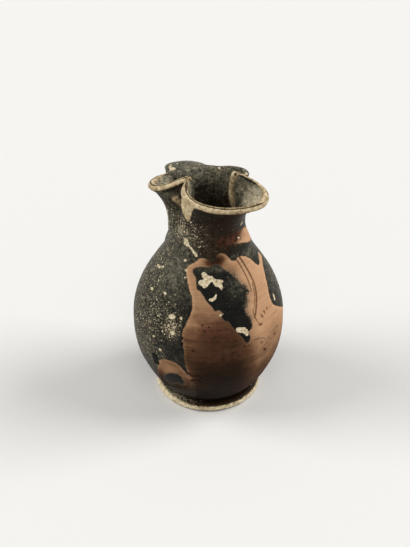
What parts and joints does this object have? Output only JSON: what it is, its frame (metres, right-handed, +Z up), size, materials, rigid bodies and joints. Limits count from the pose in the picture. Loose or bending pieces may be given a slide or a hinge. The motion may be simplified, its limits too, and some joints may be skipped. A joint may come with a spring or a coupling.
{
  "type": "trefoil oinochoe",
  "caption": "Small fired-clay wine jug with a pinched trefoil mouth, a high strap handle and a ring foot, in worn dark gloss slip.",
  "frame": {"origin": "on the vessel's axis, in the plane that the foot ring stands on", "axes": "+Z up along the vessel's axis, -Y towards the spout, +Y towards the handle"},
  "size_m": [0.0712, 0.0712, 0.1162],
  "materials": {
    "gloss_slip": "worn dark gloss slip on fired clay, satin, with pale specks",
    "painted_clay": "dark gloss slip with reserved orange clay and worn brown areas, satin",
    "worn_foot_clay": "worn thin slip over cream-brown clay, matt",
    "bare_clay": "bare fired orange clay, matt"
  },
  "bodies": {
    "root": {"foot_ring": "worn_foot_clay", "foot_luting_coil": "bare_clay", "body": "painted_clay", "neck_luting_coil": "bare_clay", "neck_and_mouth": "gloss_slip", "handle": "gloss_slip", "handle_upper_fillet": "gloss_slip", "handle_lower_fillet": "gloss_slip"}
  },
  "joints": []
}
